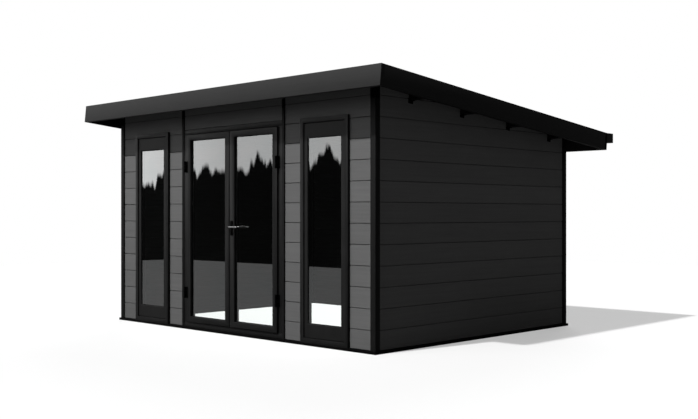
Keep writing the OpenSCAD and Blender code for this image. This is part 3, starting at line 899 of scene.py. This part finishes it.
purlin_lo, purlin_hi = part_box("purlins")
first_y = (purlin_lo.y + PURLIN_DROP * math.sin(SLOPE) - roof_origin.y) / math.cos(SLOPE)
last_y = (purlin_hi.y + DECK_DROP * math.sin(SLOPE) - roof_origin.y) / math.cos(SLOPE) - PURLIN_W
purlin_ys = [first_y + (last_y - first_y) * i / 3 for i in range(4)]
bars, brackets = Piece(), Piece()
for y in purlin_ys:
    bars.bar(
        (-deck_x, y, -PURLIN_DROP), (deck_x, y + PURLIN_W, -DECK_DROP), 0.003, ROOF, tone_of(y, 2.1, 1.4),
    )
    for side in (-1, 1):
        at = side_matrix(side) @ ROOF
        low = -PURLIN_DROP - BRACKET_DROP
        brackets.bar((side_x, y, low), (side_x + 0.005, y + PURLIN_W, -PURLIN_DROP), 0.001, at)
        brackets.bar(
            (side_x, y, -PURLIN_DROP - 0.005), (side_x + 0.03, y + PURLIN_W, -PURLIN_DROP), 0.001, at,
        )
        for dy in (0.016, 0.046):
            bolt = at @ Matrix.Translation((side_x + 0.004, y + dy, low + 0.011))
            bolt = bolt @ Matrix.Rotation(math.pi / 2, 4, "Y")
            brackets.lathe([(0, 0), (0.0055, 0), (0.0055, 0.003), (0.0045, 0.004), (0, 0.004)], bolt, 6)
bars.make("purlin_bars", post_mat, "shed", ["purlins"], "post_black")
brackets.make("purlin_brackets_bolted", black_mat, "shed", ["purlin_brackets"], "post_black")

# ---------------------------------------------------------------------------
# Gutter
# ---------------------------------------------------------------------------
g_lo, g_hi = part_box("gutter")
lean = math.tan(SLOPE)
rim = g_hi.z
back_top = g_hi.y - GUTTER_TOP_W


def wall_at(z):
    """The gutter's back at height z, which leans with the fascia."""
    return back_top - (rim - z) * lean


def along_x(a, y, z):
    return Vector((a, y, z))


outline = [
    (wall_at(rim), rim), (wall_at(g_lo.z), g_lo.z), (g_hi.y - 0.006, g_lo.z), (g_hi.y, g_lo.z + 0.006),
    (g_hi.y, rim - 0.002), (g_hi.y - 0.002, rim),
]
lip_and_inside = [
    (g_hi.y - 0.012, rim), (g_hi.y - 0.014, rim - 0.002), (g_hi.y - 0.014, rim - 0.008),
    (g_hi.y - 0.011, rim - 0.008), (g_hi.y - 0.011, rim - 0.004), (g_hi.y - SHEET_T, rim - 0.004),
    (g_hi.y - SHEET_T, g_lo.z + 0.007), (g_hi.y - 0.007, g_lo.z + SHEET_T),
    (wall_at(g_lo.z + SHEET_T) + SHEET_T, g_lo.z + SHEET_T), (wall_at(rim) + SHEET_T, rim),
]
channel = Piece()
channel.prism(outline + lip_and_inside, g_lo.x + 0.001, g_hi.x - 0.001, along_x)
for x in (g_lo.x, g_hi.x - SHEET_T):
    channel.prism(outline, x, x + SHEET_T, along_x)
for i in range(6):
    x = g_lo.x + 0.2 + i * (g_hi.x - g_lo.x - 0.4) / 5
    channel.bar(
        (x - 0.012, back_top + 0.002, rim - 0.0035), (x + 0.012, g_hi.y - 0.002, rim - 0.0005), 0.0006,
    )
channel.make("gutter_channel", gutter_mat, "shed", ["gutter"], "gutter_black", 30)

# ---------------------------------------------------------------------------
# Floor, light and camera
# ---------------------------------------------------------------------------
def diffuse(tree, level):
    node = tree.nodes.new("ShaderNodeBsdfDiffuse")
    node.inputs["Color"].default_value = (level, level, level, 1)
    return node.outputs[0]


def glow(tree, strength):
    node = tree.nodes.new("ShaderNodeEmission")
    node.inputs["Strength"].default_value = strength
    return node.outputs[0]


def mix(tree, factor, first, second):
    node = tree.nodes.new("ShaderNodeMixShader")
    tree.links.new(factor, node.inputs[0])
    tree.links.new(first, node.inputs[1])
    tree.links.new(second, node.inputs[2])
    return node.outputs[0]


def stage_floor():
    """Pale floor. The glass mirrors its front edge, and it glows brighter where seen through glass."""
    middle, half = (FLOOR_REACH + FLOOR_FRONT) / 2, (FLOOR_REACH - FLOOR_FRONT) / 2
    floor = bpy.data.meshes.new("floor")
    bm = bmesh.new()
    bmesh.ops.create_grid(
        bm, x_segments=2, y_segments=2, size=1,
        matrix=Matrix.Translation((0, middle, 0)) @ Matrix.Diagonal((FLOOR_REACH, half, 1, 1)),
    )
    bm.to_mesh(floor)
    bm.free()
    obj = bpy.data.objects.new("floor", floor)
    bpy.context.scene.collection.objects.link(obj)
    mat = bpy.data.materials.new("pale_floor")
    mat.use_nodes = True
    tree = mat.node_tree
    tree.nodes.remove(tree.nodes["Principled BSDF"])
    path = tree.nodes.new("ShaderNodeLightPath")
    bounce, mirrored = diffuse(tree, FLOOR_BOUNCE), diffuse(tree, FLOOR_MIRRORED)
    plain = mix(tree, path.outputs["Is Glossy Ray"], bounce, mirrored)
    shown = tree.nodes.new("ShaderNodeAddShader")
    tree.links.new(diffuse(tree, FLOOR_SHOWN), shown.inputs[0])
    tree.links.new(glow(tree, FLOOR_GLOW), shown.inputs[1])
    behind = tree.nodes.new("ShaderNodeMath")
    behind.operation = "GREATER_THAN"
    behind.inputs[1].default_value = 0.5
    tree.links.new(path.outputs["Transparent Depth"], behind.inputs[0])
    seen = mix(tree, behind.outputs[0], shown.outputs[0], glow(tree, FLOOR_BEHIND_GLASS))
    body = mix(tree, path.outputs["Is Camera Ray"], plain, seen)
    tree.links.new(body, tree.nodes["Material Output"].inputs["Surface"])
    floor.materials.append(mat)


def studio_world():
    """White behind the shed, a soft level on it, and a low dark horizon under bright sky in its glass."""
    world = bpy.data.worlds.new("studio")
    bpy.context.scene.world = world
    world.use_nodes = True
    tree = world.node_tree
    tree.nodes.clear()
    out = tree.nodes.new("ShaderNodeOutputWorld")
    path = tree.nodes.new("ShaderNodeLightPath")

    def background(strength, colour=None):
        node = tree.nodes.new("ShaderNodeBackground")
        node.inputs["Strength"].default_value = strength
        node.inputs["Color"].default_value = (1, 1, 1, 1)
        if colour is not None:
            tree.links.new(colour, node.inputs["Color"])
        return node.outputs[0]

    def math_node(operation, first, second):
        node = tree.nodes.new("ShaderNodeMath")
        node.operation = operation
        for socket, value in zip(node.inputs, (first, second)):
            if isinstance(value, bpy.types.NodeSocket):
                tree.links.new(value, socket)
            else:
                socket.default_value = value
        return node.outputs[0]

    def spread(value, lo, hi, out_lo, out_hi):
        node = tree.nodes.new("ShaderNodeMapRange")
        tree.links.new(value, node.inputs["Value"])
        for key, number in (("From Min", lo), ("From Max", hi), ("To Min", out_lo), ("To Max", out_hi)):
            node.inputs[key].default_value = number
        return node.outputs[0]

    way = tree.nodes.new("ShaderNodeTexCoord").outputs["Generated"]
    split = tree.nodes.new("ShaderNodeSeparateXYZ")
    tree.links.new(way, split.inputs[0])
    level_way = tree.nodes.new("ShaderNodeVectorMath")
    level_way.operation = "MULTIPLY"
    tree.links.new(way, level_way.inputs[0])
    level_way.inputs[1].default_value = (1.0, 1.0, 0.0)
    ragged = []
    for scale, detail in ((7.0, 2.0), (120.0, 4.0)):
        node = tree.nodes.new("ShaderNodeTexNoise")
        tree.links.new(level_way.outputs[0], node.inputs["Vector"])
        node.inputs["Scale"].default_value = scale
        node.inputs["Detail"].default_value = detail
        ragged.append(node.outputs[0])
    wide, fine = spread(ragged[0], 0.35, 0.65, -0.01, 0.01), spread(ragged[1], 0.3, 0.7, -0.014, 0.014)
    rise = spread(split.outputs["X"], -0.79, -0.7, 0.033, 0.061)
    crowns = math_node("ADD", math_node("ADD", wide, fine), rise)
    above = math_node("SUBTRACT", split.outputs["Z"], crowns)
    sky_level = spread(above, 0.0, 0.006, 0.004, 1.0)
    sky_level = math_node("MULTIPLY", sky_level, spread(split.outputs["X"], -0.85, -0.78, 1.6, 1.0))
    facing = spread(split.outputs["Y"], 0.2, -0.3, 0.12, 1.0)
    level = math_node("MULTIPLY", sky_level, facing)
    sky = background(1.0, level)
    soft = background(0.095)
    white = background(1.0)
    body = mix(tree, path.outputs["Is Glossy Ray"], soft, sky)
    body = mix(tree, path.outputs["Is Camera Ray"], body, white)
    tree.links.new(body, out.inputs["Surface"])


def sun(name, toward, strength, spread):
    light = bpy.data.lights.new(name, "SUN")
    light.energy = strength
    light.angle = math.radians(spread)
    lamp = bpy.data.objects.new(name, light)
    lamp.rotation_mode = "QUATERNION"
    lamp.rotation_quaternion = Vector(toward).to_track_quat("Z", "Y")
    bpy.context.scene.collection.objects.link(lamp)


stage_floor()
studio_world()
sun("key", (-0.15, -1.0, 1.34), 3.45, 2.0)
sun("low_fill", (-0.4, -1.0, 0.7), 0.66, 52.0)
sun("back_fill", (-1.0, 1.4, 1.2), 1.0, 30.0)

camera = bpy.data.cameras.new("camera")
camera.lens, camera.sensor_width = CAMERA_LENS, CAMERA_SENSOR
camera.shift_y = CAMERA_SHIFT_Y
viewer = bpy.data.objects.new("camera", camera)
viewer.location = CAMERA_PLACE
viewer.rotation_euler = (math.radians(90), 0, math.radians(CAMERA_TURN))
bpy.context.scene.collection.objects.link(viewer)
bpy.context.scene.camera = viewer
bpy.context.scene.view_settings.view_transform = "Standard"

bpy.context.view_layer.update()
